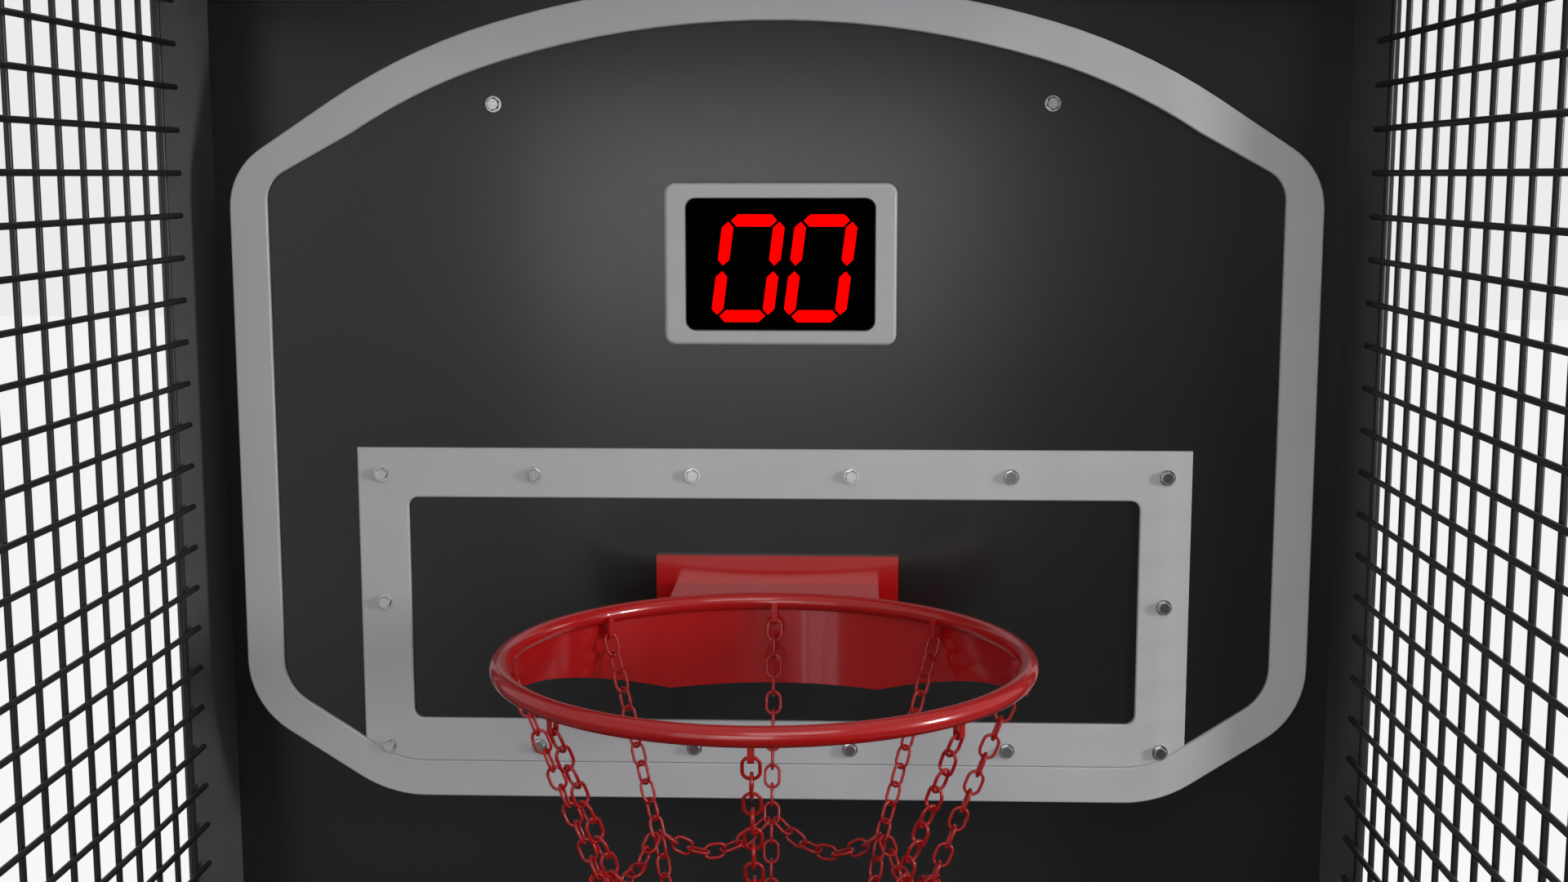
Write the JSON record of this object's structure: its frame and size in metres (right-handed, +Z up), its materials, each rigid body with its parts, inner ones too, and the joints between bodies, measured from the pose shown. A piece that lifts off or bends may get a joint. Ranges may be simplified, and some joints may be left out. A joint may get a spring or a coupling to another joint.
{
  "type": "basketball hoop machine",
  "caption": "Caged coin-operated ball-throwing cabinet with a red hoop, chain net, black backboard, score display and ball ramp.",
  "frame": {"origin": "centre of the footprint on the floor", "axes": "+X to the right for a player, +Y towards the backboard and the rear, +Z up"},
  "size_m": [1.268, 2.45, 2.723],
  "materials": {
    "panel_black": "satin black laminate",
    "board_black": "semi-gloss black sheet",
    "trim_grey": "satin grey",
    "housing_grey": "satin grey moulding",
    "window_black": "dark glossy window",
    "led_red": "lit red bars",
    "red_paint": "glossy red paint",
    "red_chain": "glossy red coated chain",
    "mesh_black": "satin black powder coat",
    "tube_black": "satin black powder coat",
    "bolt_steel": "bright zinc plated",
    "steel": "plain steel",
    "ramp_black": "black ramp surface",
    "lip_rubber": "moulded rubber edge",
    "marquee_white": "translucent white",
    "button_red": "glossy red button",
    "button_yellow": "glossy yellow button",
    "door_black": "textured black paint",
    "electronics_grey": "plain grey cases",
    "sensor_black": "black moulding",
    "inlet_black": "black moulding",
    "rocker_black": "glossy black rocker",
    "wheel_grey": "grey rubber tread"
  },
  "bodies": {
    "machine": {"side_panel_left": "panel_black", "side_panel_right": "panel_black", "roof_panel": "panel_black", "rear_wall": "panel_black", "base_board": "panel_black", "front_panel": "panel_black", "tray_floor": "panel_black", "rear_low_panel": "panel_black", "marquee_box": "panel_black", "drawer_shelf": "panel_black", "ball_ramp": "ramp_black", "front_lip": "lip_rubber", "rear_side_left": "tube_black", "rear_side_right": "tube_black", "cage_low_rail_left": "tube_black", "cage_low_rail_right": "tube_black", "cage_top_rail_left": "tube_black", "cage_top_rail_right": "tube_black", "cage_post_left": "tube_black", "cage_post_right": "tube_black", "cage_mesh_left": "mesh_black", "cage_mesh_right": "mesh_black", "cage_mesh_top": "mesh_black", "marquee_panel": "marquee_white", "backboard": "board_black", "border_trim": "trim_grey", "target_frame": "trim_grey", "board_bolts": "bolt_steel", "gate_motor": "steel", "gate_bearing": "steel", "board_standoffs": "steel", "display_housing": "housing_grey", "display_window": "window_black", "display_digits": "led_red", "hoop_bracket": "red_paint", "rim": "red_paint", "apron": "red_paint", "net_upper": "red_chain", "electronics": "electronics_grey", "score_sensor": "sensor_black", "control_console": "door_black", "power_inlet": "inlet_black"},
    "ball_gate": {"ball_gate": "steel"},
    "net": {"net_lower": "red_chain"},
    "start_button": {"start_button": "button_red"},
    "select_button": {"select_button": "button_yellow"},
    "coin_door": {"coin_door": "door_black"},
    "coin_return": {"coin_return": "button_red"},
    "door_lock": {"door_lock": "steel"},
    "cash_drawer": {"cash_drawer": "door_black"},
    "service_door": {"service_door": "panel_black"},
    "power_rocker": {"power_rocker": "rocker_black"},
    "fork_front_left": {"caster_fork_front_left": "steel"},
    "wheel_front_left": {"caster_wheel_front_left": "wheel_grey"},
    "fork_front_right": {"caster_fork_front_right": "steel"},
    "wheel_front_right": {"caster_wheel_front_right": "wheel_grey"},
    "fork_rear_left": {"caster_fork_rear_left": "steel"},
    "wheel_rear_left": {"caster_wheel_rear_left": "wheel_grey"},
    "fork_rear_right": {"caster_fork_rear_right": "steel"},
    "wheel_rear_right": {"caster_wheel_rear_right": "wheel_grey"}
  },
  "joints": [
    {"name": "gate_swing", "type": "hinge", "parent": "machine", "child": "ball_gate", "pos_m": [0, -0.7, 1.04], "axis": [-1, 0, 0], "range_deg": [0, 80]},
    {"name": "net_sway", "type": "hinge", "parent": "machine", "child": "net", "pos_m": [0, 0.6575, 1.9], "axis": [1, 0, 0], "range_deg": [-12, 12], "deforming": ["net_upper"]},
    {"name": "start_press", "type": "slide", "parent": "machine", "child": "start_button", "axis": [0, 0.6912, -0.7226], "range_m": [0, 0.004], "stiffness_N_per_m": 400},
    {"name": "select_press", "type": "slide", "parent": "machine", "child": "select_button", "axis": [0, 0.6912, -0.7226], "range_m": [0, 0.004], "stiffness_N_per_m": 300},
    {"name": "coin_door_swing", "type": "hinge", "parent": "machine", "child": "coin_door", "pos_m": [-0.143, -1.153, 0.5], "axis": [0, 0, -1], "range_deg": [0, 110]},
    {"name": "coin_return_press", "type": "slide", "parent": "coin_door", "child": "coin_return", "axis": [0, 1, 0], "range_m": [0, 0.004], "stiffness_N_per_m": 300},
    {"name": "door_lock_turn", "type": "hinge", "parent": "coin_door", "child": "door_lock", "pos_m": [-0.07, -1.157, 0.5], "axis": [0, 1, 0], "range_deg": [0, 90]},
    {"name": "drawer_slide", "type": "slide", "parent": "machine", "child": "cash_drawer", "axis": [0, -1, 0], "range_m": [0, 0.25]},
    {"name": "service_door_swing", "type": "hinge", "parent": "machine", "child": "service_door", "pos_m": [-0.601, 1.2095, 1.8], "axis": [0, 0, 1], "range_deg": [0, 110]},
    {"name": "power_rocker_tip", "type": "hinge", "parent": "machine", "child": "power_rocker", "pos_m": [0.425, 1.204, 0.265], "axis": [1, 0, 0], "range_deg": [-5, 5]},
    {"name": "swivel_front_left", "type": "hinge", "parent": "machine", "child": "fork_front_left", "pos_m": [-0.52, -1.05, 0.1], "axis": [0, 0, 1], "continuous": true},
    {"name": "spin_front_left", "type": "hinge", "parent": "fork_front_left", "child": "wheel_front_left", "pos_m": [-0.52, -1.022, 0.05], "axis": [1, 0, 0], "continuous": true},
    {"name": "swivel_front_right", "type": "hinge", "parent": "machine", "child": "fork_front_right", "pos_m": [0.52, -1.05, 0.1], "axis": [0, 0, 1], "continuous": true},
    {"name": "spin_front_right", "type": "hinge", "parent": "fork_front_right", "child": "wheel_front_right", "pos_m": [0.52, -1.022, 0.05], "axis": [1, 0, 0], "continuous": true},
    {"name": "swivel_rear_left", "type": "hinge", "parent": "machine", "child": "fork_rear_left", "pos_m": [-0.52, 1.08, 0.1], "axis": [0, 0, 1], "continuous": true},
    {"name": "spin_rear_left", "type": "hinge", "parent": "fork_rear_left", "child": "wheel_rear_left", "pos_m": [-0.52, 1.108, 0.05], "axis": [1, 0, 0], "continuous": true},
    {"name": "swivel_rear_right", "type": "hinge", "parent": "machine", "child": "fork_rear_right", "pos_m": [0.52, 1.08, 0.1], "axis": [0, 0, 1], "continuous": true},
    {"name": "spin_rear_right", "type": "hinge", "parent": "fork_rear_right", "child": "wheel_rear_right", "pos_m": [0.52, 1.108, 0.05], "axis": [1, 0, 0], "continuous": true}
  ]
}
